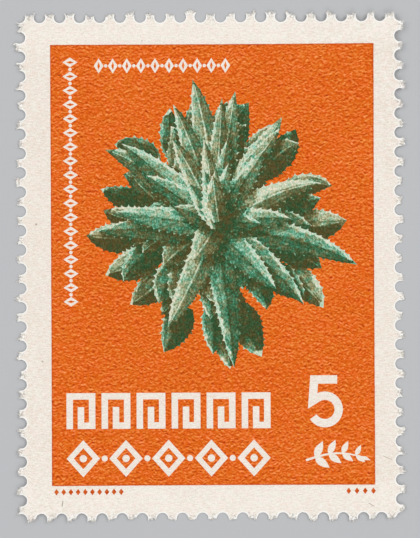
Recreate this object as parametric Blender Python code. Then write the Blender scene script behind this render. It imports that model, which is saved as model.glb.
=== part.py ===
"""A perforated postage stamp: one sheet of gummed paper, torn from its neighbours, lying face up.

The origin is on the table, under the middle of the sheet. +X is to the right of the upright
picture, +Y to its top and +Z out of the printed face. Lengths are in metres.
"""
import math
import random

import bpy
from mathutils import Vector, geometry

MM = 0.001

# Perforation: a gauge counts the holes along 20 mm. The corner holes are shared by two rows.
GAUGE_LENGTH = 20.0 * MM
GAUGE_ACROSS = 11.5
GAUGE_UPRIGHT = 12.0
HOLES_ACROSS = 18  # between the corner holes, in the top and the bottom row
HOLES_UPRIGHT = 25  # between the corner holes, in the left and the right column
HOLE_RADIUS = 0.50 * MM
COMB_JOIN_GAP = 1.57 * MM  # where two strokes of the comb met, one hole before the right column
BOTTOM_GAP = 1.63 * MM  # from a bottom corner hole to the next hole above it
TOP_GAP = 1.77 * MM  # from the last hole of a column to the top corner hole

# Teeth: how far the torn paper reaches past the line of hole centres, on each side
TEAR_REACH = {"bottom": 0.03 * MM, "right": 0.09 * MM, "top": 0.20 * MM, "left": 0.12 * MM}
REACH_SPREAD = 0.08 * MM  # standard deviation at each end of a tooth
CROWN_RISE = 0.03 * MM  # of the middle of a tooth over its ends
CROWN_SPREAD = 0.09 * MM  # standard deviation: some teeth are pointed and some are notched
SPREAD_LIMIT = 2.0  # standard deviations that no tooth exceeds
TEAR_ROUGHNESS = 0.045 * MM
TEAR_POINTS = 6  # along each tooth, between its two ends
TEAR_SEED = 24

# Sheet
PAPER_THICKNESS = 0.10 * MM  # with the gum on its back
LEVEL_SHARE = 0.6  # of the way from the middle to a corner, which lies flat on the table
CORNER_LIFT = {  # how far each corner has curled off the table
    ("left", "bottom"): 0.25 * MM,
    ("right", "bottom"): 0.15 * MM,
    ("left", "top"): 0.12 * MM,
    ("right", "top"): 0.45 * MM,
}
GRID_STEP = 1.5 * MM  # of the points that let the sheet bend
GRID_MARGIN = 1.0 * MM  # from the line of hole centres to the nearest of those points
ARC_STEP = math.radians(20.0)  # of each facet round a hole

PAPER_COLOUR = (0.86, 0.79, 0.69, 1.0)
PAPER_ROUGHNESS = 0.62


def clear_scene():
    for item in list(bpy.data.objects):
        bpy.data.objects.remove(item, do_unlink=True)


def column_places():
    """Distances of the holes of a row from its left corner hole, both corner holes included."""
    pitch = GAUGE_LENGTH / GAUGE_ACROSS
    places = [hole * pitch for hole in range(HOLES_ACROSS)]
    places.append(places[-1] + COMB_JOIN_GAP)
    places.append(places[-1] + pitch)
    return places


def row_places():
    """Distances of the holes of a column from its bottom corner hole, both corner holes included."""
    pitch = GAUGE_LENGTH / GAUGE_UPRIGHT
    places = [0.0]
    places += [BOTTOM_GAP + hole * pitch for hole in range(HOLES_UPRIGHT)]
    places.append(places[-1] + TOP_GAP)
    return places


def perforation_rows():
    """The four rows of hole centres, anticlockwise: side, direction of travel, centres."""
    across = column_places()
    upright = row_places()
    right = across[-1]
    top = upright[-1]
    return (
        ("bottom", Vector((1, 0)), [Vector((x, 0)) for x in across]),
        ("right", Vector((0, 1)), [Vector((right, y)) for y in upright]),
        ("top", Vector((-1, 0)), [Vector((x, top)) for x in reversed(across)]),
        ("left", Vector((0, -1)), [Vector((0, y)) for y in reversed(upright)]),
    )


def rim_point(centre, along, outward, reach):
    """The point on a hole's rim that lies on the side of `along`, `reach` past the centre line."""
    return centre + along * math.sqrt(HOLE_RADIUS ** 2 - reach ** 2) + outward * reach


def varied(mean, deviation, chance):
    """A normally distributed length that keeps within SPREAD_LIMIT deviations of its mean."""
    return mean + deviation * max(-SPREAD_LIMIT, min(SPREAD_LIMIT, chance.gauss(0.0, 1.0)))


def torn_tooth(first, second, along, reach, chance):
    """Outline of the tooth between two holes, from the first hole's rim to the second's."""
    outward = Vector((along.y, -along.x))
    start = rim_point(first, along, outward, varied(reach, REACH_SPREAD, chance))
    end = rim_point(second, -along, outward, varied(reach, REACH_SPREAD, chance))
    crown = varied(CROWN_RISE, CROWN_SPREAD, chance)
    points = [start]
    for step in range(1, TEAR_POINTS + 1):
        share = (step + chance.uniform(-0.3, 0.3)) / (TEAR_POINTS + 1)
        rise = crown * math.sin(math.pi * share) + chance.uniform(-TEAR_ROUGHNESS, TEAR_ROUGHNESS)
        points.append(start.lerp(end, share) + outward * rise)
    points.append(end)
    return points


def punched_arc(centre, start, end):
    """Points round a hole's rim, clockwise from start to end, without the two ends."""
    from_angle = math.atan2(start.y - centre.y, start.x - centre.x)
    to_angle = math.atan2(end.y - centre.y, end.x - centre.x)
    sweep = (from_angle - to_angle) % math.tau
    facets = math.ceil(sweep / ARC_STEP)
    points = []
    for facet in range(1, facets):
        angle = from_angle - sweep * facet / facets
        points.append(centre + Vector((math.cos(angle), math.sin(angle))) * HOLE_RADIUS)
    return points


def sheet_outline():
    """The perforated edge, anticlockwise: each tooth, then the arc of the hole that follows it."""
    chance = random.Random(TEAR_SEED)
    teeth = []
    for side, along, centres in perforation_rows():
        for first, second in zip(centres, centres[1:]):
            tooth = torn_tooth(first, second, along, TEAR_REACH[side], chance)
            teeth.append((tooth, second))
    outline = []
    for place, (tooth, hole) in enumerate(teeth):
        next_tooth = teeth[(place + 1) % len(teeth)][0]
        outline += tooth + punched_arc(hole, tooth[-1], next_tooth[0])
    return outline


def box_middle(points):
    low = Vector((min(p.x for p in points), min(p.y for p in points)))
    high = Vector((max(p.x for p in points), max(p.y for p in points)))
    return (low + high) / 2


def inner_points():
    """A grid of points over the sheet, clear of the perforation."""
    points = []
    width = column_places()[-1] - 2 * GRID_MARGIN
    height = row_places()[-1] - 2 * GRID_MARGIN
    columns = round(width / GRID_STEP)
    rows = round(height / GRID_STEP)
    for column in range(columns + 1):
        for row in range(rows + 1):
            x = GRID_MARGIN + width * column / columns
            y = GRID_MARGIN + height * row / rows
            points.append(Vector((x, y)))
    return points


def back_height(x, y):
    """Height of the gummed back above the table: level, then rising straight to each corner."""
    half_width = column_places()[-1] / 2
    half_height = row_places()[-1] / 2
    way = (abs(x) / half_width + abs(y) / half_height) / 2
    corner = ("left" if x < 0 else "right", "bottom" if y < 0 else "top")
    return CORNER_LIFT[corner] * max(0.0, way - LEVEL_SHARE) / (1 - LEVEL_SHARE)


def paper_material():
    material = bpy.data.materials.new("stamp_paper")
    material.use_nodes = True
    shader = material.node_tree.nodes["Principled BSDF"]
    shader.inputs["Base Color"].default_value = PAPER_COLOUR
    shader.inputs["Roughness"].default_value = PAPER_ROUGHNESS
    shader.inputs["Metallic"].default_value = 0.0
    material.diffuse_color = PAPER_COLOUR
    return material


def build_stamp():
    """The sheet's back as one triangulated surface, thickened upward to the printed face."""
    outline = sheet_outline()
    middle = box_middle(outline)
    flat = [p - middle for p in outline + inner_points()]
    corners = len(outline)
    places, _, triangles, *_ = geometry.delaunay_2d_cdt(flat, [], [range(corners)], 1, 1e-8)
    mesh = bpy.data.meshes.new("stamp")
    mesh.from_pydata([(p.x, p.y, back_height(p.x, p.y)) for p in places], [], triangles)
    mesh.materials.append(paper_material())
    stamp = bpy.data.objects.new("stamp", mesh)
    bpy.context.collection.objects.link(stamp)
    paper = stamp.modifiers.new("paper", "SOLIDIFY")
    paper.thickness = PAPER_THICKNESS
    paper.offset = 1.0  # grows from the back along the surface's normals, which point up
    return stamp


clear_scene()
build_stamp()
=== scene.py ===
import math
import random
import time
from itertools import groupby

import bmesh
import bpy
import numpy as np
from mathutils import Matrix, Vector, geometry, kdtree


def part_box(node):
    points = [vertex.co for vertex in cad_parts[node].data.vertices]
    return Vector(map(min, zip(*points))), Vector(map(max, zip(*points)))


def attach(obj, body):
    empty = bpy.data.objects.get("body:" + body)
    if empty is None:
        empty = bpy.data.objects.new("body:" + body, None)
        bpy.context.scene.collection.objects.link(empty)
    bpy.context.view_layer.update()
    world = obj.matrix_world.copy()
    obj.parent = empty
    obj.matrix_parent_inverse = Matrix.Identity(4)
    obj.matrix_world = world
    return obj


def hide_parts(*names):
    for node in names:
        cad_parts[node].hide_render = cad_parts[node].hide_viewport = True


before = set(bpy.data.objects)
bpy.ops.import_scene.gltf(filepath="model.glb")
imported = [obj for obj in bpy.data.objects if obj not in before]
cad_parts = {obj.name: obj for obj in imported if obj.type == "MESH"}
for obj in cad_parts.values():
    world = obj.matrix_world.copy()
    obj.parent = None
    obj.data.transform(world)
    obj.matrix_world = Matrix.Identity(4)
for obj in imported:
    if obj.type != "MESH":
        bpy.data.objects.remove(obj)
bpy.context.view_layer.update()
started = time.time()
mm = 0.001  # shapes are worked out in mm, and scaled when their mesh is made


def report(words):
    print(f"[{time.time() - started:5.1f} s] {words}")


view = {
    "shown": 46.58,  # height of the picture, in mm of the table
    "lens": 100.0,
    "sensor": 36.0,
    "lookAt": (-0.03, -0.27),  # the table's point at the picture's middle
    "roll": 0.27,  # degrees
}
lamps = {  # name: (place in mm, width in mm, watts)
    "lampRight": ((420.0, 260.0, 520.0), 420.0, 1.72),
    "lampLeft": ((-440.0, 120.0, 520.0), 420.0, 1.15),
    "lampNear": ((60.0, -520.0, 470.0), 420.0, 0.88),
}
room = {
    "skyColour": (0.97, 0.98, 1.0),
    "skyStrength": 0.51,
    "tableColour": (0.52, 0.525, 0.535),
    "tableShade": 0.94,  # of that, where it is darkest
    "tableSize": 6.0,  # m
    "tableLevel": -0.00002,  # m, just clear of the sheet's back
}


scene = bpy.context.scene


def added(name, data):
    made = bpy.data.objects.new(name, data)
    scene.collection.objects.link(made)
    return made


def makeCamera():
    data = bpy.data.cameras.new("copyCamera")
    data.lens = view["lens"]
    data.sensor_width = view["sensor"]
    data.clip_start = mm
    camera = added("copyCamera", data)
    distance = view["shown"] * view["lens"] / view["sensor"]
    camera.location = Vector((*view["lookAt"], distance)) * mm
    camera.rotation_euler = (0.0, 0.0, -math.radians(view["roll"]))
    scene.camera = camera


def makeLamps():
    for name, (place, width, watts) in lamps.items():
        data = bpy.data.lights.new(name, "AREA")
        data.size = width * mm
        data.energy = watts
        lamp = added(name, data)
        lamp.location = Vector(place) * mm
        lamp.rotation_euler = (-Vector(place)).to_track_quat("-Z", "Y").to_euler()


def makeSky():
    world = bpy.data.worlds.new("studio")
    scene.world = world
    world.use_nodes = True
    sky = world.node_tree.nodes["Background"]
    sky.inputs["Color"].default_value = (*room["skyColour"], 1.0)
    sky.inputs["Strength"].default_value = room["skyStrength"]


scene.view_settings.view_transform = "Standard"
makeCamera()
makeLamps()
makeSky()
report("camera and lamps are in place")


def operation(name, reflected=False):
    # a method of a wire and another value, which comes first if it is reflected
    def method(wire, other):
        values = (other, wire) if reflected else (wire, other)
        return wire.paint.maths(name, *values)
    return method


class Wire:
    # one value, colour or vector on its way through a material

    def __init__(self, paint, socket):
        self.paint = paint
        self.socket = socket

    def __abs__(self):
        return self.paint.maths("ABSOLUTE", self)

    __add__ = operation("ADD")
    __radd__ = operation("ADD", reflected=True)
    __sub__ = operation("SUBTRACT")
    __rsub__ = operation("SUBTRACT", reflected=True)
    __mul__ = operation("MULTIPLY")
    __rmul__ = operation("MULTIPLY", reflected=True)
    atLeast = operation("MAXIMUM")
    atMost = operation("MINIMUM")


class Paint:
    # one material and the nodes that make it

    def __init__(self, name):
        self.material = bpy.data.materials.new(name)
        self.material.use_nodes = True
        self.tree = self.material.node_tree
        self.shader = self.tree.nodes["Principled BSDF"]

    def node(self, kind, settings=None, sockets=None, output=0):
        made = self.tree.nodes.new(kind)
        for name, value in (settings or {}).items():
            setattr(made, name, value)
        for name, value in (sockets or {}).items():
            self.feed(made.inputs[name], value)
        return Wire(self, made.outputs[output])

    def feed(self, socket, value):
        if isinstance(value, Wire):
            self.tree.links.new(value.socket, socket)
        elif socket.type == "RGBA":
            socket.default_value = (*value, 1.0)
        else:
            socket.default_value = value

    def maths(self, name, *values):
        return self.node("ShaderNodeMath", {"operation": name}, dict(enumerate(values)))

    def vectors(self, name, *values):
        return self.node("ShaderNodeVectorMath", {"operation": name}, dict(enumerate(values)))

    def parts(self, vector):
        split = self.node("ShaderNodeSeparateXYZ", sockets={0: vector}).socket.node
        return [Wire(self, output) for output in split.outputs]

    def joined(self, x, y, z=0.0):
        return self.node("ShaderNodeCombineXYZ", sockets={0: x, 1: y, 2: z})

    def place(self):
        # where the point is, in mm
        own = self.node("ShaderNodeTexCoord", output=3)
        return self.vectors("MULTIPLY", own, (1 / mm,) * 3)

    def stored(self, name):
        return self.node("ShaderNodeAttribute", {"attribute_name": name}, output=1)

    def noise(self, place, scale, detail=2.0, roughness=0.5, distortion=0.0):
        # about 0.5; scale is one number, or one across the sheet and one up it
        if isinstance(scale, tuple):
            place = self.vectors("MULTIPLY", place, (*scale, 1.0))
            scale = 1.0
        sockets = {"Vector": place, "Scale": scale, "Detail": detail}
        sockets |= {"Roughness": roughness, "Distortion": distortion}
        return self.node("ShaderNodeTexNoise", sockets=sockets)

    def shifted(self, place, across, up):
        return self.vectors("ADD", place, (across, up, 0.0))

    def step(self, value, low, high):
        # rises smoothly from 0 at low to 1 at high
        settings = {"interpolation_type": "SMOOTHSTEP"}
        sockets = {"Value": value, "From Min": low, "From Max": high}
        return self.node("ShaderNodeMapRange", settings, sockets)

    def ramp(self, value, stops):
        made = self.node("ShaderNodeValToRGB", sockets={"Fac": value})
        elements = made.socket.node.color_ramp.elements
        while len(elements) < len(stops):
            elements.new(1.0)
        for element, (place, colour) in zip(elements, stops):
            element.position = place
            element.color = (*colour, 1.0)
        return made

    def mix(self, factor, first, second, blend="MIX"):
        settings = {"data_type": "RGBA", "blend_type": blend}
        sockets = {"Factor": factor, 6: first, 7: second}
        return self.node("ShaderNodeMix", settings, sockets, output=2)

    def bump(self, height, strength, distance):
        sockets = {"Height": height, "Strength": strength, "Distance": distance}
        return self.node("ShaderNodeBump", sockets=sockets)

    def finish(self, **sockets):
        for name, value in sockets.items():
            self.feed(self.shader.inputs[name.replace("_", " ")], value)
        return self.material


def screen(red, green, blue):
    # a colour as it shows on screen, from 0 to 255, turned into a shader's
    shares = (red / 255, green / 255, blue / 255)
    return tuple(s / 12.92 if s <= 0.04045 else ((s + 0.055) / 1.055) ** 2.4 for s in shares)


def makeTable():
    paint = Paint("tablePaint")
    mottle = paint.noise(paint.place(), 0.01, 3.0)
    shade = tuple(room["tableShade"] * share for share in room["tableColour"])
    paint.finish(Base_Color=paint.mix(mottle * 0.25, room["tableColour"], shade), Roughness=0.9)
    bpy.ops.mesh.primitive_plane_add(size=room["tableSize"], location=(0.0, 0.0, room["tableLevel"]))
    table = bpy.context.object
    table.name = "table"
    table.data.materials.append(paint.material)


makeTable()
report("table is laid")


def between(pair, share):
    return pair[0] + (pair[1] - pair[0]) * share


def way(angle):
    # 1 long, at an angle from +X
    return np.array([math.cos(angle), math.sin(angle)])


def unit(vectors):
    # rows of vectors, each made 1 long
    return vectors / np.linalg.norm(vectors, axis=1)[:, None]


def turned(vectors):
    # one vector or rows of them, turned a quarter to the left
    return np.stack([-vectors[..., 1], vectors[..., 0]], axis=-1)


def cross(first, second):
    return first[..., 0] * second[..., 1] - first[..., 1] * second[..., 0]


def makePiece(name, points, faces):
    # a piece from points in mm and lists of corners
    mesh = bpy.data.meshes.new(name)
    mesh.from_pydata((np.array(points) * mm).tolist(), [], faces)
    mesh.shade_smooth()
    return added(name, mesh)


edge = {
    "holeRadius": 0.50,
    "radiusSlack": 0.01,
    "holeStep": 7.0,  # degrees round a hole's rim
    "rimRoughness": 0.004,
    "tearStep": 0.050,  # longest stretch between two points
    "tearWander": 0.30,  # of a stretch's length, by which its middle moves
    "notchDepth": 0.065,  # of the small bites along a tear
    "hornShare": 0.6,  # of the teeth, which keep a point of paper at one end
    "hornHeight": (0.06, 0.22),
    "hornFoot": 0.35,  # of that height
    "clearOfRims": 6,  # points of each rim beside it that a tear may not cross
    "seed": 11,
}


def cadEdge(node):
    # the edge of the CAD sheet's back, in mm, anticlockwise seen from its face
    mesh = bmesh.new()
    mesh.from_mesh(node.data)
    bmesh.ops.remove_doubles(mesh, verts=mesh.verts, dist=1e-6)
    mesh.normal_update()
    back = {face for face in mesh.faces if face.normal.z < -0.5}
    following = {}
    for face in back:
        for corner in face.loops:
            if not back.issuperset(corner.edge.link_faces):
                following[corner.link_loop_next.vert] = corner.vert
    here = min(following, key=lambda vert: (vert.co.x, vert.co.y))
    points = []
    while here in following:
        points.append(np.array(here.co.xy) / mm)
        here = following.pop(here)
    mesh.free()
    return points


def punchCentre(before, here, after):
    # the centre of a hole whose rim holds the three points, or None
    a, b = before - here, after - here
    spread = 2 * cross(a, b)
    if spread < 1e-9:
        return None
    offset = turned(a * (b @ b) - b * (a @ a)) / spread
    fits = abs(np.linalg.norm(offset) - edge["holeRadius"]) < edge["radiusSlack"]
    return here + offset if fits else None


def rimRuns(points):
    # the stretches of the edge that are hole rims: (first, last, hole's centre)
    count = len(points)
    centres = [punchCentre(points[i - 1], points[i], points[(i + 1) % count]) for i in range(count)]
    start = next(i for i in range(count) if centres[i - 1] is None)
    runs = []
    for bare, run in groupby(range(start, start + count), lambda i: centres[i % count] is None):
        run = list(run)
        if not bare and len(run) > 2:
            runs.append((run[0] - 1, run[-1] + 1, np.mean([centres[i % count] for i in run], axis=0)))
    return runs


def punchedRim(start, end, centre, chance):
    # clockwise round a hole from start to end, without the two ends
    first = math.atan2(*(start - centre)[::-1])
    sweep = (first - math.atan2(*(end - centre)[::-1])) % math.tau
    steps = round(sweep / math.radians(edge["holeStep"]))
    rim = []
    for step in range(1, steps):
        angle = first - sweep * step / steps
        radius = edge["holeRadius"] + chance.gauss(0.0, edge["rimRoughness"])
        rim.append(centre + radius * way(angle))
    return rim


def tornLine(start, end, chance):
    # a ragged line from start to end, without its end
    along = end - start
    length = np.linalg.norm(along)
    if length < edge["tearStep"]:
        return [start]
    middle = (start + end) / 2 - turned(along) * chance.uniform(-1, 1) * edge["tearWander"]
    return tornLine(start, middle, chance) + tornLine(middle, end, chance)


def tornTooth(rough, chance):
    # the ragged outline of one tooth over the CAD's plainer one
    stops = list(rough)
    across = stops[-1] - stops[0]
    outward = -turned(across) / np.linalg.norm(across)
    for stop in range(1, len(stops) - 1):
        stops[stop] = stops[stop] + outward * edge["notchDepth"] * chance.triangular(-1.3, 1.0, 0.1)
    if chance.random() < edge["hornShare"]:
        horn = outward * chance.uniform(*edge["hornHeight"])
        tip, foot = chance.choice([(1, 2), (-2, -3)])
        stops[tip] = stops[tip] + horn
        stops[foot] = stops[foot] + horn * edge["hornFoot"]
    tear = []
    for here, there in zip(stops, stops[1:]):
        tear += tornLine(here, there, chance)
    return tear + [stops[-1]]


def crossed(line):
    # whether a line crosses itself or nearly does
    line = np.array(line)
    starts, steps = line[:-1], np.diff(line, axis=0)
    offset = starts[None] - starts[:, None]
    turn = cross(steps[:, None], steps[None])
    turn = np.where(abs(turn) < 1e-12, 1e-12, turn)
    own = cross(offset, steps[None]) / turn
    other = cross(offset, steps[:, None]) / turn
    slack = 0.15  # of a step, past its ends
    meets = (own > -slack) & (own < 1 + slack) & (other > -slack) & (other < 1 + slack)
    order = np.arange(len(steps))
    return (meets & (abs(order[:, None] - order) > 1)).any()


def fineEdge():
    # the edge with smooth rims and ragged tears: its points, 1 for each torn one, and the tears
    chance = random.Random(edge["seed"])
    rough = cadEdge(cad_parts["stamp"])
    count = len(rough)
    runs = rimRuns(rough)
    rims = [punchedRim(rough[a % count], rough[b % count], centre, chance) for a, b, centre in runs]
    clear = edge["clearOfRims"]
    points, torn, tears = [], [], []
    for place, (_, last, _) in enumerate(runs):
        following = (place + 1) % len(runs)
        reach = (runs[following][0] - last) % count
        plain = [rough[i % count] for i in range(last, last + reach + 1)]
        tear = tornTooth(plain, chance)
        while crossed(rims[place][-clear:] + tear + rims[following][:clear]):
            tear = tornTooth(plain, chance)
        tears.append(tear)
        points += rims[place] + tear
        torn += [0.0] * len(rims[place]) + [1.0] * len(tear)
    return np.array(points), np.array(torn), tears


edgePoints, edgeTorn, tears = fineEdge()
report(f"edge has {len(tears)} teeth and {len(edgePoints)} points")


# The print's places are in mm from the middle of its panel.
panel = {"middle": (0.20, 0.10), "width": 27.95, "height": 38.15}


def lozenge(x, y, width, height):
    return [(x - width / 2, y), (x, y - height / 2), (x + width / 2, y), (x, y + height / 2)]


def around(x, y, radius, turns):
    return [(x, y) + radius * way(turn) for turn in turns]


def disc(x, y, radius, corners=28):
    return around(x, y, radius, [math.tau * corner / corners for corner in range(corners)])


def stroke(points, width, taper=1.0):
    # the outline of a mitred pen stroke; taper is its width at the end
    path = np.array(points, float)
    steps = unit(np.diff(path, axis=0))
    before = np.vstack([steps[:1], steps])
    after = np.vstack([steps, steps[-1:]])
    across = unit(turned(before + after))
    mitre = np.einsum("ij,ij->i", across, turned(before))
    halves = width / 2 * np.linspace(1.0, taper, len(path)) / np.maximum(mitre, 0.4)
    offset = across * halves[:, None]
    return np.vstack([path + offset, (path - offset)[::-1]])


def moved(outline, x, y, turn):
    c, s = math.cos(math.radians(turn)), math.sin(math.radians(turn))
    return [(x + c * px - s * py, y + s * px + c * py) for px, py in outline]


# The makers of ornaments yield a kind of ink and an outline; a later one covers an earlier one.
bands = {
    "left": -12.70,
    "right": 4.95,
    "keyFoot": -14.16,
    "keyHeight": 3.10,
    "keys": 6,
    "keyStroke": 0.56,
    "chainMiddle": -16.72,
    "chainHeight": 3.20,
    "chains": 5,
    "chainStroke": 0.58,
}
numeral = {"middle": (9.68, -11.86), "height": 4.50, "width": 3.05, "stroke": 0.72}
sprig = {"middle": (10.35, -16.45), "length": 4.7, "leaf": 1.55, "stroke": 0.20}
beads = {"height": 1.30, "width": 0.84, "stroke": 0.205, "dot": 0.15, "pitch": 1.218}
beadLines = {  # the first bead's middle, how many, and the line's turn in degrees
    "top": ((-9.78, 17.24), 10, 0.0),
    "side": ((-12.26, -3.15), 18, 90.0),
}
imprint = {
    "y": -19.60,
    "height": 0.56,
    "width": 0.42,
    "rows": ((-13.58, 0.62, 10), (11.68, 0.71, 4)),  # first mark, pitch, how many
}


def keyBand():
    # a running key pattern, each key one stroke
    pen = bands["keyStroke"]
    gap = 0.95 * pen
    width = (bands["right"] - bands["left"] + gap) / bands["keys"] - gap - pen
    low, high = bands["keyFoot"] + pen / 2, bands["keyFoot"] + bands["keyHeight"] - pen / 2
    for key in range(bands["keys"]):
        x = bands["left"] + pen / 2 + key * (width + gap + pen)
        path = [(x, low - pen / 2), (x, high), (x + width, high), (x + width, low)]
        path += [(x + 0.5 * width, low), (x + 0.5 * width, high - 2 * pen + 0.35 * pen)]
        yield "mark", stroke(path, pen)


def chainBand():
    # lozenges with a bare ring and a dot, spaced along the second band
    tall, pen = bands["chainHeight"], bands["chainStroke"]
    wide = 0.90 * tall
    pitch = (bands["right"] - bands["left"] - wide) / (bands["chains"] - 1)
    y = bands["chainMiddle"]
    hole = 1 - 2.4 * pen / tall
    for link in range(bands["chains"]):
        x = bands["left"] + wide / 2 + link * pitch
        yield "mark", lozenge(x, y, wide, tall)
        yield "ground", lozenge(x, y, wide * hole, tall * hole)
        yield "mark", disc(x, y, pen * 0.55)
        if link:
            yield "mark", disc(x - pitch / 2, y, pen * 0.45)


def plainNumeral():
    # a five, drawn with one pen
    x, y = numeral["middle"]
    pen, tall, wide = numeral["stroke"], numeral["height"], numeral["width"]
    top, foot = y + tall / 2 - pen / 2, y - tall / 2 + pen / 2
    left, right = x - wide / 2 + pen / 2, x + wide / 2 - pen / 2
    bowl = (right - left) / 2 * 1.02
    centre = (right - bowl, foot + bowl)
    stem = left + 0.22
    path = [(right - 0.12, top), (stem, top), (stem - 0.14, centre[1] + bowl * 0.62)]
    path += around(*centre, bowl, [math.radians(128 - 276 * s / 30) for s in range(31)])
    yield "mark", stroke(path, pen)


def leafSprig():
    # a small curved stem with leaves in pairs
    x, y = sprig["middle"]
    length = sprig["length"]
    stem = [(x + length * (s / 12 - 0.5), y - 0.5 + 0.6 * math.sin(2.6 * s / 12)) for s in range(13)]
    yield "mark", stroke(stem, sprig["stroke"], 0.6)
    for place in range(2, 12, 3):
        for side in (1, -1):
            size = sprig["leaf"] * (1.08 - 0.04 * place)
            leaf = [(size * s / 8, 0.22 * size * math.sin(math.pi * (s / 8) ** 0.8)) for s in range(9)]
            leaf += [(along, -out) for along, out in leaf[7:0:-1]]
            yield "mark", moved(leaf, *stem[place], 14 + side * 50)
    tip = [(0.0, -0.05), (0.45, -0.17), (0.95, 0.0), (0.45, 0.17), (0.0, 0.05)]
    yield "mark", moved(tip, *stem[-1], -20)


def beadLine(start, count, turn):
    inset = 2.9 * beads["stroke"]
    for bead in range(count):
        along = bead * beads["pitch"]
        ring = lozenge(along, 0.0, beads["width"], beads["height"])
        hole = lozenge(along, 0.0, beads["width"] - inset, beads["height"] - inset)
        yield "mark", moved(ring, *start, turn)
        yield "ground", moved(hole, *start, turn)
        if bead < count - 1:
            dot = disc(along + beads["pitch"] / 2, 0.0, beads["dot"], 14)
            yield "mark", moved(dot, *start, turn)


def imprintRow(left, pitch, count):
    for mark in range(count):
        yield "imprint", lozenge(left + mark * pitch, imprint["y"], imprint["width"], imprint["height"])


# Toothed blades leave one heart by a fixed turn, the outermost first, over an undergrowth.
rosette = {
    "heart": (0.25, 2.95),
    "turn": 137.5,  # degrees from one blade to the next
    "tilt": 40.0,  # degrees by which it leans towards the viewer
    "tallness": 1.46,  # how much longer blades look that point up or down
    "toothHeight": 0.24,
    "steps": 30,
    "seed": 5,
    "light": (-0.62, 0.78),  # where the light comes from, across the print
    "shadowFall": (0.36, -0.46),
    "shadowRings": ((0.09, 0.26, 1.0), (0.10, 0.13, 0.75), (0.12, 0.0, 0.5)),  # depth, growth, fall
    "grid": (0.3, 0.55, (-0.62, -0.3, 0.0, 0.3, 0.62)),  # of points: inset, step and rows
}
rosetteBlades = {
    "count": 34,
    "root": (-0.2, -0.35),  # mm from the heart, outermost and innermost
    "length": (12.6, 4.4),
    "width": (2.9, 1.6),
    "rise": (4.0, 80.0),  # degrees above the ground at its root
    "arch": (-26.0, 8.0),  # degrees by which it bends up along its length
    "swing": 16.0,  # degrees by which it bends sideways at most
    "tooth": 0.62,  # from one tooth to the next
    "tone": 0.0,
}
undergrowth = {
    "count": 60,
    "root": (7.2, 1.2),
    "length": (4.0, 4.4),
    "width": (2.6, 2.7),
    "rise": (0.0, 24.0),
    "arch": (-10.0, -30.0),
    "swing": 38.0,
    "tooth": 0.50,
    "tone": -0.20,
}


def bladePath(kind, share, heading, chance):
    # the middle line of one blade, in the panel's mm
    swing = math.radians(chance.uniform(-1, 1) * kind["swing"])
    length = between(kind["length"], share) * chance.uniform(0.88, 1.08)
    rise, arch = (math.radians(between(kind[name], share)) for name in ("rise", "arch"))
    tilt = math.radians(rosette["tilt"])
    step = length / rosette["steps"]
    root = between(kind["root"], share)
    spot = np.array([*(root * way(heading)), 0.6 * share])
    path = []
    for place in range(rosette["steps"] + 1):
        along = place / rosette["steps"]
        path.append((spot[0], (spot[1] * math.cos(tilt) + spot[2] * math.sin(tilt)) * rosette["tallness"]))
        turn, lean = heading + swing * along ** 1.6, rise + arch * along ** 1.5
        spot += step * np.array([*(math.cos(lean) * way(turn)), math.sin(lean)])
    return np.array(path) + rosette["heart"]


def makeBlade(kind, index, chance):
    share = index / (kind["count"] - 1)
    heading = math.radians(index * rosette["turn"] + chance.uniform(-10, 10))
    path = bladePath(kind, share, heading, chance)
    steps = np.diff(path, axis=0)
    along = np.concatenate([[0.0], np.cumsum(np.linalg.norm(steps, axis=1))])
    width = between(kind["width"], share) * chance.uniform(0.85, 1.12)
    s = along / along[-1]
    halves = width / 2 * (0.52 + 0.48 * np.sin(np.pi / 2 * np.minimum(s / 0.42, 1.0)))
    halves *= np.maximum(1 - s ** 2.6, 0.0) ** 0.8 * 0.985 + 0.015
    tangents = unit(np.vstack([steps[:1], (steps[1:] + steps[:-1]) / 2, steps[-1:]]))
    across = turned(tangents)
    facing = across[len(path) // 3] @ np.array(rosette["light"])
    return {
        "path": path,
        "along": along,
        "halves": halves,
        "across": across,
        "tip": path[-1] + tangents[-1] * 0.12,
        "tooth": kind["tooth"],
        "lit": math.copysign(1.0, facing),
        "tone": kind["tone"] + chance.uniform(-0.09, 0.09) + 0.10 * share + 0.05 * abs(facing),
        "hue": chance.random(),
        "chance": random.Random(chance.random()),
    }


def onBlade(blade, along, across):
    # the point at mm along a blade and half widths across it, and its way across
    lines = np.column_stack([blade["path"], blade["across"], blade["halves"]])
    *place, half = (np.interp(along, blade["along"], line) for line in lines.T)
    spot, side = np.array(place).reshape(2, 2)
    return spot + side * half * across, side


def toothedOutline(blade):
    # up one margin and down the other, with hooked teeth that point to the tip
    length = blade["along"][-1]
    chance = blade["chance"]
    sides = []
    for side in (1.0, -1.0):
        place = 0.4 + chance.uniform(0.0, 0.4)
        margin = [onBlade(blade, 0.0, side)[0]]
        while place < length * 0.93:
            middling = 0.5 + 0.5 * math.sin(math.pi * place / length)
            tall = rosette["toothHeight"] * chance.uniform(0.55, 1.2) * middling
            for shift, out in ((-0.17, 0.0), (0.02, 0.45), (0.12, 1.0), (0.15, 0.25), (0.2, 0.0)):
                spot, across = onBlade(blade, place + shift, side)
                margin.append(spot + across * side * out * tall)
            place += blade["tooth"] * chance.uniform(0.75, 1.3)
        sides.append(margin)
    return np.array(sides[0] + [blade["tip"]] + sides[1][::-1])


def plainOutline(blade, grow, shift):
    sides = (blade["across"] * (blade["halves"] + grow)[:, None])[::2]
    return np.vstack([blade["path"][::2] + sides, (blade["path"][::2] - sides)[::-1]]) + shift


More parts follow.
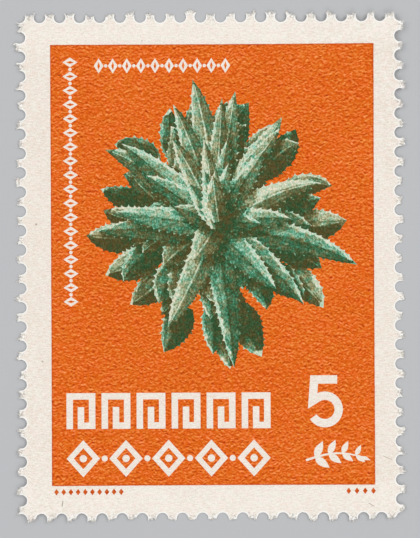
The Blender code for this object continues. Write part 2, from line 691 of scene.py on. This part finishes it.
def rosetteShapes():
    chance = random.Random(rosette["seed"])
    fall = np.array(rosette["shadowFall"])
    shapes, blades = [], []
    for kind in (undergrowth, rosetteBlades):
        for index in range(kind["count"]):
            blade = makeBlade(kind, index, chance)
            blades.append(blade)
            for depth, grow, share in rosette["shadowRings"]:
                shapes.append(("shade", plainOutline(blade, grow, fall * share), depth))
            shapes.append(("blade", toothedOutline(blade), len(blades) - 1))
    return shapes, blades


bladeShapes, blades = rosetteShapes()
shapes = [*keyBand(), *chainBand(), *plainNumeral(), *leafSprig()]
for row in imprint["rows"]:
    shapes += imprintRow(*row)
for row in beadLines.values():
    shapes += beadLine(*row)
shapes += bladeShapes
shapes = [(ink, np.array(outline, float) + panel["middle"], *more) for ink, outline, *more in shapes]
for blade in blades:
    blade["path"] += panel["middle"]
report(f"print has {len(shapes)} shapes")


sheet = {
    "thickness": 0.10,
    "levelShare": 0.6,  # of the way from the middle to a corner, which lies flat
    "cornerLift": {(-1, -1): 0.25, (1, -1): 0.15, (-1, 1): 0.12, (1, 1): 0.45},
    "liftShare": 0.97,  # of those, to stay inside the CAD's height
    "toothReach": 0.3,  # of the teeth past the rows of holes
    "quarterBlend": 0.4,
    "creaseSoftness": 0.05,
    "ripple": 0.008,  # of the paper's own unevenness
    "faceGrid": (0.80, 0.2),  # of points: step, and how clear of the edge
    "backGrid": (1.4, 0.25),
    "gridInset": 0.9,
    "rowShare": 0.87,  # of a grid's step, between its rows
    "nearest": 0.0006,  # points closer than this are one
    "edgeBands": ((0.06, 2), (0.16, 4), (0.38, 8)),  # mm inside the edge, one to how many points
    "edgeZone": 1.3,  # in from the sheet's box
    # the width of the painted highlight along a punched rim
    "rimWidth": 0.15,
    "fluffWidth": 0.50,  # of the band along a tear with grey fluff, painted shade between its fibres and painted highlight on some
    "rimWear": 0.016,
    "tearWear": 0.040,
    "seed": 3,
}
sheetLow, sheetHigh = (np.array(corner)[:2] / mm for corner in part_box("stamp"))


def backHeight(points):
    # the back's height over the table, as the CAD has it but with soft creases
    halves = (sheetHigh - sheetLow) / 2 - sheet["toothReach"]
    over = (abs(points) / halves).mean(axis=1) - sheet["levelShare"]
    over = (over + np.sqrt(over ** 2 + sheet["creaseSoftness"] ** 2)) / 2
    x, y = points.T
    blend = sheet["quarterBlend"]
    lifts = 0.0
    for (right, top), lift in sheet["cornerLift"].items():
        # each quarter's lift blends into the next one's
        lifts += 1 / (1 + np.exp(-right * x / blend)) / (1 + np.exp(-top * y / blend)) * lift
    lifts = lifts * over / (1 - sheet["levelShare"]) * sheet["liftShare"]
    ripple = np.sin(x * 0.41 + 1.3 * np.sin(y * 0.19)) * np.sin(y * 0.33 + 0.7)
    return lifts + sheet["ripple"] * (0.5 + 0.5 * ripple)


def treeOf(points):
    tree = kdtree.KDTree(len(points))
    for number, spot in enumerate(points):
        tree.insert((*spot, 0.0), number)
    tree.balance()
    return tree


edgeTree = treeOf(edgePoints)
tearTree = treeOf(edgePoints[edgeTorn > 0.5])


def gridPoints(step, clear):
    # a staggered grid over the sheet, clear of its edge
    low, high = sheetLow + sheet["gridInset"], sheetHigh - sheet["gridInset"]
    points = []
    row = 0
    y = low[1]
    while y < high[1]:
        x = low[0] + step / 2 * (row % 2)
        while x < high[0]:
            if edgeTree.find((x, y, 0.0))[2] > clear:
                points.append((x, y))
            x += step
        y += step * sheet["rowShare"]
        row += 1
    return points


def bandPoints():
    # rows of points just inside the edge
    points = []
    for width, every in sheet["edgeBands"]:
        for number in range(0, len(edgePoints), every):
            along = edgePoints[(number + 1) % len(edgePoints)] - edgePoints[number - 1]
            spot = edgePoints[number] + turned(along) / np.linalg.norm(along) * width
            if edgeTree.find((*spot, 0.0))[2] > width * 0.8:
                points.append(spot)
    return points


def meshed(points, edges):
    # a mesh over the sheet: places, triangles, and the place of each point of the edge
    points = [Vector(p) for p in (*edgePoints, *points)]
    edges = ring(len(edgePoints)) + edges
    found = geometry.delaunay_2d_cdt(points, edges, [], 1, sheet["nearest"])
    spots = np.array(found[0])
    used, triangles = np.unique(np.array(found[2]), return_inverse=True)
    order = np.full(len(edgePoints), -1)
    for number, place in enumerate(used):
        for source in found[3][place]:
            if source < len(order):
                order[source] = number
    return spots[used], triangles.reshape(-1, 3), order


def ring(count, offset=0):
    # the pairs of neighbours among points in a ring
    return [(offset + i, offset + (i + 1) % count) for i in range(count)]


def faceMesh():
    points, edges = [], []
    for shape in shapes:
        edges += ring(len(shape[1]), len(edgePoints) + len(points))
        points += list(shape[1])
    end, step, rows = rosette["grid"]
    for blade in blades:
        for along in np.arange(end, blade["along"][-1] - end, step):
            points += [onBlade(blade, along, across)[0] for across in rows]
    return meshed(points + gridPoints(*sheet["faceGrid"]) + bandPoints(), edges)


def backMesh():
    return meshed(gridPoints(*sheet["backGrid"]) + bandPoints(), [])


def inside(points, outline):
    # which points an outline winds round
    low, high = outline.min(axis=0), outline.max(axis=0)
    near = np.nonzero(((points > low) & (points < high)).all(axis=1))[0]
    x, y = points[near].T
    turns = np.zeros(len(near), int)
    for (ax, ay), (bx, by) in zip(outline, np.roll(outline, -1, axis=0)):
        left = (bx - ax) * (y - ay) - (x - ax) * (by - ay)
        turns += (ay <= y) & (by > y) & (left > 0)
        turns -= (ay > y) & (by <= y) & (left < 0)
    return near[turns != 0]


def printedAreas(spots, triangles):
    # for each triangle of the face: kind of ink, blade and shadow
    centres = spots[triangles].mean(axis=1)
    kinds = np.full(len(triangles), "ground", dtype="<U8")
    owner = np.full(len(triangles), -1)
    shadow = np.zeros(len(triangles))
    for ink, outline, *more in shapes:
        covered = inside(centres, outline)
        if ink == "shade":
            shadow[covered[owner[covered] >= 0]] += more[0]
            continue
        kinds[covered] = ink
        owner[covered] = more[0] if ink == "blade" else -1
        shadow[covered] = 0.0
    return kinds, owner, shadow


def bladePlace(blade, points):
    # per point: mm along the blade, half widths across it to its lit side, and half width
    path = blade["path"]
    starts, steps = path[:-1], np.diff(path, axis=0)
    lengths = np.einsum("ij,ij->i", steps, steps)
    offset = points[:, None, :] - starts[None]
    share = np.clip(np.einsum("pij,ij->pi", offset, steps) / lengths, 0.0, 1.0)
    gap = offset - share[:, :, None] * steps[None]
    nearest = np.einsum("pij,pij->pi", gap, gap).argmin(axis=1)
    rows = np.arange(len(points))
    share = share[rows, nearest]
    along = blade["along"][nearest] + share * (blade["along"][nearest + 1] - blade["along"][nearest])
    half = np.interp(along, blade["along"], blade["halves"])
    gap = gap[rows, nearest]
    across = np.sign(cross(steps[nearest], gap)) * np.linalg.norm(gap, axis=1) / half
    return np.column_stack([along, across * blade["lit"], half])


def inkAttributes(spots, triangles):
    # per corner: a blade's place, (tone, shadow, hue) and (bare, blade, imprint)
    kinds, owner, shadow = printedAreas(spots, triangles)
    place, tone, ink = np.zeros((3, len(triangles), 3, 3))
    for number, kind in enumerate(("mark", "blade", "imprint")):
        ink[kinds == kind, :, number] = 1.0
    for number, blade in enumerate(blades):
        own = np.nonzero(owner == number)[0]
        place[own] = bladePlace(blade, spots[triangles[own]].reshape(-1, 2)).reshape(-1, 3, 3)
        tone[own, :, 0] = blade["tone"] + 0.5
        tone[own, :, 1] = shadow[own][:, None]
        tone[own, :, 2] = blade["hue"]
    return {"bladePlace": place, "bladeTone": tone, "ink": ink}


def edgeHighlightAndFluff(spots, triangles):
    # per corner: how near a punched edge the paper is, which sets its painted highlight, how near a torn
    # one, and 0
    wear = np.zeros((len(spots), 3))
    low, high = sheetLow + sheet["edgeZone"], sheetHigh - sheet["edgeZone"]
    for number in np.nonzero(((spots < low) | (spots > high)).any(axis=1))[0]:
        spot = (*spots[number], 0.0)
        _, nearest, gap = edgeTree.find(spot)
        wear[number, 0] = max(0.0, 1 - gap / sheet["rimWidth"]) * (1 - edgeTorn[nearest])
        wear[number, 1] = max(0.0, 1 - tearTree.find(spot)[2] / sheet["fluffWidth"])
    return {"edgeHighlightAndFluff": wear[triangles]}


bakeMap = {  # the face, and beside it a strip with the back and the unrolled rim
    "faceHeight": 0.985,
    "facePlace": 0.006,
    "backWidth": 0.20,
    "backPlace": (0.775, 0.02),
    "rowPlace": (0.775, 0.36),  # of the rim's first row
    "rowLength": 0.20,
    "rowHeight": 0.006,
    "rowGap": 0.007,
    "rowUnit": 0.0072,  # for each mm of the rim
}


def twoTriangles(upper, lower, upperNext, lowerNext):
    # what fills the strip between two rows of places
    return [np.stack([upper, lower, lowerNext], axis=1), np.stack([upper, lowerNext, upperNext], axis=1)]


def rimMap():
    chain = np.linalg.norm(np.roll(edgePoints, -1, axis=0) - edgePoints, axis=1)
    start = np.concatenate([[0.0], np.cumsum(chain)[:-1]])
    unrolled = bakeMap["rowLength"] / bakeMap["rowUnit"]
    row = np.floor(start / unrolled)
    left, foot = bakeMap["rowPlace"]
    fromX = left + (start - row * unrolled) * bakeMap["rowUnit"]
    toX = fromX + chain * bakeMap["rowUnit"]
    tall = bakeMap["rowHeight"]
    maps = []
    for level in (3, 2, 1):
        high = foot + row * (tall + bakeMap["rowGap"]) + tall * level / 3
        heights = (high, high - tall / 3)
        maps += twoTriangles(*(np.column_stack([x, y]) for x in (fromX, toX) for y in heights))
    return maps


def makeSheet():
    faceSpots, faceTriangles, faceEdge = faceMesh()
    report(f"face is meshed: {len(faceTriangles)} triangles")
    backSpots, backTriangles, backEdge = backMesh()
    chance = np.random.default_rng(sheet["seed"])
    count = len(edgePoints)
    wear = between((sheet["rimWear"], sheet["tearWear"]), edgeTorn)
    top = backHeight(faceSpots) + sheet["thickness"]
    top[faceEdge] -= wear * chance.uniform(0.5, 1.1, count)
    low = backHeight(backSpots)
    low[backEdge] += 0.4 * wear * chance.uniform(0.2, 1.0, count)
    # two rows between the face and the back, ragged where the paper tore
    outward = unit(-turned(np.roll(edgePoints, -1, axis=0) - np.roll(edgePoints, 1, axis=0)))
    points = [np.column_stack([faceSpots, top]), np.column_stack([backSpots, low])]
    for share in (0.66, 0.33):
        push = 0.002 + edgeTorn * chance.uniform(-0.012, 0.024, count)
        height = low[backEdge] + share * (top[faceEdge] - low[backEdge])
        points.append(np.column_stack([edgePoints + outward * push[:, None], height]))
    backStart = len(faceSpots)
    turn = backStart + len(backSpots) + np.arange(count)
    levels = [faceEdge, turn, turn + count, backStart + backEdge]
    rim = []
    for upper, lower in zip(levels, levels[1:]):
        rim += twoTriangles(upper, lower, np.roll(upper, -1), np.roll(lower, -1))
    backTriangles = backTriangles[:, ::-1]
    bodies = [faceTriangles, backTriangles + backStart, np.vstack(rim)]
    triangles = np.vstack(bodies)
    piece = makePiece("stampSheet", np.vstack(points), triangles.tolist())
    mesh = piece.data
    slots = np.repeat([0, 1, 2], [len(body) for body in bodies])
    mesh.polygons.foreach_set("material_index", slots.astype(np.int32))
    rest = np.zeros((len(triangles) - len(faceTriangles), 3, 3))
    stored = inkAttributes(faceSpots, faceTriangles) | edgeHighlightAndFluff(faceSpots, faceTriangles)
    for name, values in stored.items():
        kept = mesh.attributes.new(name, "FLOAT_VECTOR", "CORNER")
        kept.data.foreach_set("vector", np.vstack([values, rest]).ravel().astype(np.float32))
    wide, tall = sheetHigh - sheetLow
    faceMap = (faceSpots - sheetLow) * (bakeMap["faceHeight"] / tall) + bakeMap["facePlace"]
    backMap = (backSpots - sheetLow) * (bakeMap["backWidth"] / wide) + bakeMap["backPlace"]
    maps = np.vstack([faceMap[faceTriangles], backMap[backTriangles], *rimMap()])
    layer = mesh.uv_layers.new(name="OFBake")
    layer.uv.foreach_set("vector", maps.ravel().astype(np.float32))
    mesh.set_sharp_from_angle(angle=math.radians(40))
    mesh.validate()
    return piece


stamp = makeSheet()
report("sheet is made")


fibres = {
    "each": 24,  # on one tooth, loose from one another
    "lockShare": 0.55,  # of the teeth, which also have a lock of fibres
    "lockLength": (0.16, 0.40),
    "length": (0.05, 0.38),
    "thickness": (0.012, 0.034),
    "raggedness": (0.35, 1.3),  # of a tooth: how many fibres it has, and how thick
    "spread": 55.0,  # degrees either way from straight out
    "curl": 70.0,
    "rise": (0.012, 0.075),  # of a root over the sheet's back
    "depth": 0.03,  # of a root in the paper
    "slope": (-0.12, 0.10),
    "lowest": 0.004,  # that a tip hangs
    "steps": 5,
    "seed": 21,
}


def fibre(root, heading, length, thick, curl, slope):
    # a tapering three-sided strand: points and faces
    steps = fibres["steps"]
    points, faces = [], []
    spot = np.array(root, float)
    for step in range(steps):
        share = step / steps
        ahead = np.array([*way(heading + curl * share), slope])
        side = np.array([-ahead[1], ahead[0], 0.0])
        half = thick / 2 * (1 - 0.75 * share)
        points += [spot + side * half, spot - side * half, spot + (0.0, 0.0, half * 1.5)]
        spot += ahead * length / steps
    points.append(spot)
    for step in range(steps - 1):
        for a, b in ring(3, step * 3):
            faces += [(a, b, b + 3), (a, b + 3, a + 3)]
    last = (steps - 1) * 3
    faces += [(a, b, last + 3) for a, b in ring(3, last)]
    faces.append((2, 1, 0))
    return points, faces


def fibresOf(tear, chance):
    # for one tooth: each fibre's root, heading, length, thickness and curl
    spots = np.array(tear)
    across = spots[-1] - spots[0]
    outward = math.atan2(-across[0], across[1])
    raggedness = chance.uniform(*fibres["raggedness"])
    found = []
    for _ in range(round(fibres["each"] * raggedness)):
        root = spots[chance.randrange(1, len(spots) - 1)]
        heading = outward + math.radians(chance.gauss(0.0, fibres["spread"] / 2))
        length = between(fibres["length"], min(chance.expovariate(4.2), 1.0))
        thick = chance.uniform(*fibres["thickness"]) * (0.6 + 0.4 * raggedness)
        found.append((root, heading, length, thick, chance.uniform(-1, 1) * fibres["curl"]))
    if chance.random() < fibres["lockShare"]:
        middle = chance.randrange(3, len(spots) - 3)
        lean = outward + math.radians(chance.gauss(0.0, fibres["spread"] / 2))
        reach = chance.uniform(*fibres["lockLength"])
        curl = chance.uniform(-1, 1) * fibres["curl"]
        for _ in range(chance.randint(6, 12)):
            root = spots[middle + chance.randint(-2, 2)]
            heading = lean + chance.gauss(0.0, 0.16)
            length = reach * chance.uniform(0.55, 1.0)
            found.append((root, heading, length, fibres["thickness"][1], curl + chance.gauss(0.0, 9.0)))
    return found


def makeFibres():
    chance = random.Random(fibres["seed"])
    points, faces = [], []
    for tear in tears:
        for root, heading, length, thick, curl in fibresOf(tear, chance):
            height = backHeight(root[None])[0] + chance.uniform(*fibres["rise"])
            inner = root - fibres["depth"] * way(heading)
            slope = max(chance.uniform(*fibres["slope"]), (fibres["lowest"] - height) / length)
            made, sides = fibre((*inner, height), heading, length, thick, math.radians(curl), slope)
            faces += [tuple(corner + len(points) for corner in side) for side in sides]
            points += made
    return makePiece("tornFibres", points, faces)


tornFibres = makeFibres()
report(f"torn fibres have {len(tornFibres.data.polygons)} triangles")


paper = {
    "bright": screen(252, 245, 236),
    "dull": screen(231, 216, 201),
    "warm": (1.0, 0.972, 0.965),
    "cool": (0.975, 1.0, 0.985),
    "speck": screen(150, 132, 112),
    # rim is a painted highlight, along the punched rims and on some loose fibres by a tear
    "rim": screen(255, 254, 250),
    "fluff": screen(176, 180, 179),
    "gap": screen(173, 168, 159),  # painted shade between the loose fibres
    "roughness": 0.62,
    "gloss": 0.12,
}
orangeInk = {
    "deep": screen(174, 48, 0),
    "middle": screen(229, 101, 6),
    "light": screen(255, 160, 92),
    "yellower": (0.98, 1.04, 0.85),
    "redder": (1.02, 0.96, 1.10),
    "roughness": 0.50,
}
greenInk = {
    "stops": [  # from shadow to highlight
        (0.00, screen(46, 48, 16)),
        (0.16, screen(60, 69, 32)),
        (0.32, screen(74, 91, 54)),
        (0.46, screen(88, 113, 78)),
        (0.58, screen(108, 141, 104)),
        (0.72, screen(145, 176, 142)),
        (0.87, screen(176, 207, 178)),
        (1.00, screen(240, 232, 212)),
    ],
    "warm": (1.75, 0.93, 0.78),  # brown and blue-green are uneven in it
    "cool": (0.42, 1.06, 1.16),
}
hairs = [  # dark fibres in the paper: (middle, length, width, lean), in mm
    ((-12.87, -20.48), 0.56, 0.10, 0.10),
    ((13.82, -20.70), 0.34, 0.13, -1.6),
    ((15.25, -16.66), 0.36, 0.12, -2.4),
    ((-15.04, 3.66), 0.16, 0.17, 0.0),
    ((-14.55, -8.20), 0.15, 0.14, -0.5),
    ((-5.82, 19.48), 0.10, 0.10, 0.0),
]


def hairMarks(paint, place):
    x, y, _ = paint.parts(place)
    marks = 0.0
    for (left, up), length, width, lean in hairs:
        rise = y - up
        beside = abs(x - left - rise * lean)
        within = paint.step(abs(rise), length * 0.55, length * 0.35)
        marks = paint.step(beside, width * 0.7, width * 0.2) * within + marks
    return marks.atMost(1.0)


def weave(paint, place):
    # the sheet's fine grain, which runs across it, about 0.5
    lines = paint.noise(place, (2.4, 10.5), 1.0, 0.6)
    specks = paint.noise(place, (8.5, 8.5), 1.0)
    return lines * 0.5 + specks * 0.5


def paperTone(paint, place):
    # off-white stock: a mottle, specks, dark fibres, fluff along the tears, and a painted highlight along
    # the punched rims
    mottle = paint.noise(place, 0.30, 2.0, 0.6)
    _, up, _ = paint.parts(place)
    amount = (weave(paint, place) - 0.5) * 3.2 + mottle * 0.36 + 0.30
    amount -= paint.step(abs(up), 18.0, 20.0) * 0.17  # a little paler over and under the print
    colour = paint.mix(amount, paper["bright"], paper["dull"])
    blush = paint.noise(place, (1.6, 2.4))
    tint = paint.mix(paint.step(blush, 0.36, 0.64), paper["cool"], paper["warm"])
    colour = paint.mix(1.0, colour, tint, "MULTIPLY")
    cells = paint.node("ShaderNodeTexVoronoi", sockets={"Vector": place, "Scale": 0.75})
    specks = paint.step(cells, 0.08, 0.03)
    some = paint.step(paint.noise(place, 1.9, 1.0), 0.52, 0.60)
    colour = paint.mix(specks * some * 0.8, colour, paper["speck"])
    colour = paint.mix(hairMarks(paint, place) * 0.75, colour, paper["speck"])
    nearPunch, nearTear, _ = paint.parts(paint.stored("edgeHighlightAndFluff"))
    # towards a tear the paper thins into grey fluff, whose fibres lie loose, with painted shade in the
    # gaps between them and painted highlight on some
    fluff = paint.noise(place, (4.6, 5.6), 3.0, 0.7)
    greyed = nearTear * nearTear * (paint.step(fluff, 0.38, 0.62) * 0.7 + 0.1)
    colour = paint.mix(greyed, colour, paper["fluff"])
    loose = paint.noise(place, (5.6, 5.2), 2.0, 0.75)
    near = paint.step(nearTear, 0.0, 0.6)
    # painted shade in the gaps between loose fibres
    colour = paint.mix(near * paint.step(loose, 0.50, 0.36) * 0.75, colour, paper["gap"])
    # painted highlight on some loose fibres
    colour = paint.mix(near * paint.step(loose, 0.52, 0.62), colour, paper["rim"])
    # a painted highlight whitens the paper along the punched rims
    return paint.mix(paint.step(nearPunch, 0.0, 0.7) * 0.85, colour, paper["rim"])


def flecks(paint, place):
    # short wavy flecks, mostly level, about 0.5
    sway = paint.noise(place, (1.6, 0.8), 1.0)
    x, y, _ = paint.parts(place)
    bent = paint.joined(x * 0.86, y + (sway - 0.5) * 0.5)
    gabor = {"Vector": bent, "Scale": 5.0, "Frequency": 0.50, "Anisotropy": 0.78, 4: math.radians(90)}
    lines = paint.node("ShaderNodeTexGabor", {"gabor_type": "2D"}, gabor)
    sand = paint.noise(place, (4.2, 3.0), 3.0, 0.7)
    return lines * 0.8 + 0.1 + (sand - 0.5) * 0.55


def orangeTone(paint, grain, place):
    patch = paint.noise(place, 0.16)
    amount = (grain - 0.5) * 1.90 + 0.5 + (patch - 0.5) * 0.16
    stops = [(0.0, orangeInk["deep"]), (0.50, orangeInk["middle"]), (1.0, orangeInk["light"])]
    drift = paint.noise(paint.shifted(place, 3.0, 50.0), 0.9, 3.0, 0.7)
    tint = paint.mix(paint.step(drift, 0.36, 0.64), orangeInk["yellower"], orangeInk["redder"])
    return paint.mix(1.0, paint.ramp(amount, stops), tint, "MULTIPLY")


def bladeTone(paint, grain, place):
    # a blade is lit on one half, dark at the heart and pale along its lit margin
    along, across, half = paint.parts(paint.stored("bladePlace"))
    tone, shadow, hue = paint.parts(paint.stored("bladeTone"))
    margin = (1 - abs(across)) * half  # mm inside the margin, less than 0 on a tooth
    streaks = paint.noise(paint.joined(along * 0.7, across * 4.0, hue * 40), 1.6, 2.0, 0.6)
    granules = paint.noise(place, (6.2, 4.6), 2.0, 0.75)
    blotches = paint.noise(place, 0.9)
    litHalf = paint.step(across, -0.18, 0.30)
    value = tone - 0.18 + litHalf * 0.24 - shadow.atMost(0.34)
    value = value + (streaks - 0.5) * 0.50 + (granules - 0.5) * 1.15 + (blotches - 0.5) * 0.46
    value = value + paint.step(along, 0.0, 4.0) * 0.18 - 0.12 + (grain - 0.5) * 0.25
    broken = paint.noise(paint.joined(along * 0.8, hue * 60), 1.0, 2.0, 0.7)  # along the blade's lines
    ridge = paint.step(hue, 0.45, 0.55) * (0.3 + broken * 0.5) - 0.16  # some midribs catch the light
    value += paint.step(abs(across + 0.03), 0.15, 0.0) * ridge
    rimWidth = paint.step(broken, 0.28, 0.72) * 0.34 + 0.03
    litRim = paint.step(margin - rimWidth, 0.05, -0.07) * paint.step(across, 0.15, 0.5)
    darkRim = paint.step(margin, 0.16, 0.05) * paint.step(across, -0.2, -0.6)
    pale = paint.step(hue, 0.80, 0.92) * paint.step(across + (streaks - 0.5) * 0.8, 0.0, 0.5) * 0.26
    value = value + litRim * (tone * 0.46 + 0.12 - shadow) - darkRim * 0.12 + pale
    value += paint.step(margin, 0.02, -0.06) * 0.30
    value = value.atLeast(granules * 0.74 - 0.16).atMost(granules * 0.62 + 0.60)
    colour = paint.ramp(value, greenInk["stops"])
    uneven = paint.noise(paint.shifted(place, 31.0, 7.0), 1.8, 4.0, 0.75)
    uneven += (hue - 0.5) * 0.14
    tint = paint.mix(paint.step(uneven, 0.33, 0.67), greenInk["cool"], greenInk["warm"])
    strength = paint.step(value, 1.10, 0.50)
    return paint.mix(strength, colour, tint, "MULTIPLY")


def outsidePanel(paint, place):
    # mm from the printed panel's edge, less than 0 inside it
    x, y, _ = paint.parts(place)
    outX = abs(x - panel["middle"][0]) - panel["width"] / 2
    outY = abs(y - panel["middle"][1]) - panel["height"] / 2
    return outX.atLeast(outY)


def printedPaper():
    paint = Paint("printedPaper")
    place = paint.place()
    bare, blade, mark = paint.parts(paint.stored("ink"))
    bareStock = paperTone(paint, place)
    grain = flecks(paint, place)
    # the ink's edge is uneven, and the ink is thickest just inside it
    outside = outsidePanel(paint, place) + (paint.noise(place, 4.0) - 0.5) * 0.05
    thick = paint.step(outside, -0.18, -0.04) * 0.42
    orange = paint.mix(thick, orangeTone(paint, grain, place), orangeInk["deep"])
    inked = (paint.step(outside, 0.03, -0.03) * (1 - bare)).atLeast(mark)
    colour = paint.mix(inked, bareStock, orange)
    colour = paint.mix(blade, colour, bladeTone(paint, grain, place))
    tooth = paint.noise(place, 11.0, 3.0, 0.65)
    smoother = paper["roughness"] - orangeInk["roughness"]
    rough = paper["roughness"] - inked * smoother + (tooth - 0.5) * 0.12
    relief = paint.bump(tooth * 0.7 + weave(paint, place) * 0.6, 0.22, 0.00002)
    gloss = paper["gloss"]
    return paint.finish(Base_Color=colour, Roughness=rough, Normal=relief, Specular_IOR_Level=gloss)


gum = {"pale": screen(240, 233, 216), "deep": screen(226, 214, 186), "roughness": 0.34}


def gummedBack():
    # dried gum, faintly yellow, with fine level ripples and thin places
    paint = Paint("gummedBack")
    place = paint.place()
    pools = paint.noise(place, 0.22, 3.0, 0.6)
    grain = paint.noise(place, 7.0, 3.0, 0.6)
    ripples = paint.noise(place, (0.5, 3.6), 2.0, 0.5, 0.6)
    thin = paint.step(paint.noise(paint.shifted(place, 9.0, 4.0), 0.5, 4.0, 0.6), 0.54, 0.78)
    amount = pools * 0.9 + grain * 0.25 + (ripples - 0.5) * 0.7 - 0.12
    colour = paint.mix(amount, gum["pale"], gum["deep"])
    colour = paint.mix(thin * 0.5, colour, paper["bright"])
    # the print shows faintly through the sheet
    ghost = paint.step(outsidePanel(paint, place), 0.25, -0.25)
    colour = paint.mix(ghost * 0.055, colour, orangeInk["middle"])
    rough = gum["roughness"] + thin * 0.26 + (grain - 0.5) * 0.16
    relief = paint.bump(ripples * 0.8 + grain * 0.3, 0.35, 0.00003)
    return paint.finish(Base_Color=colour, Roughness=rough, Normal=relief)


core = {"pale": screen(253, 249, 243), "dull": screen(240, 233, 223), "roughness": 0.85}


def rawEdge():
    # the paper's core, where it was punched or torn
    paint = Paint("rawEdge")
    fluff = paint.noise(paint.place(), 16.0, 3.0, 0.7)
    colour = paint.mix(fluff, core["pale"], core["dull"])
    relief = paint.bump(fluff, 0.6, 0.00002)
    return paint.finish(Base_Color=colour, Roughness=core["roughness"], Normal=relief)


strand = {"pale": screen(254, 250, 244), "dull": screen(240, 233, 224), "roughness": 0.8}


def fibrePaint():
    paint = Paint("paperFibre")
    place = paint.place()
    colour = paint.mix(paint.noise(place, 5.0), strand["pale"], strand["dull"])
    relief = paint.bump(paint.noise(place, 30.0), 0.3, 0.00001)
    return paint.finish(Base_Color=colour, Roughness=strand["roughness"], Normal=relief)


for finish in (printedPaper(), gummedBack(), rawEdge()):
    stamp.data.materials.append(finish)
tornFibres.data.materials.append(fibrePaint())
report("paper, ink, gum and fibre finishes are made")


for piece in (stamp, tornFibres):
    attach(piece, "root")
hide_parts("stamp")

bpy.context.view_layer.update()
report("pieces ride on the frame")
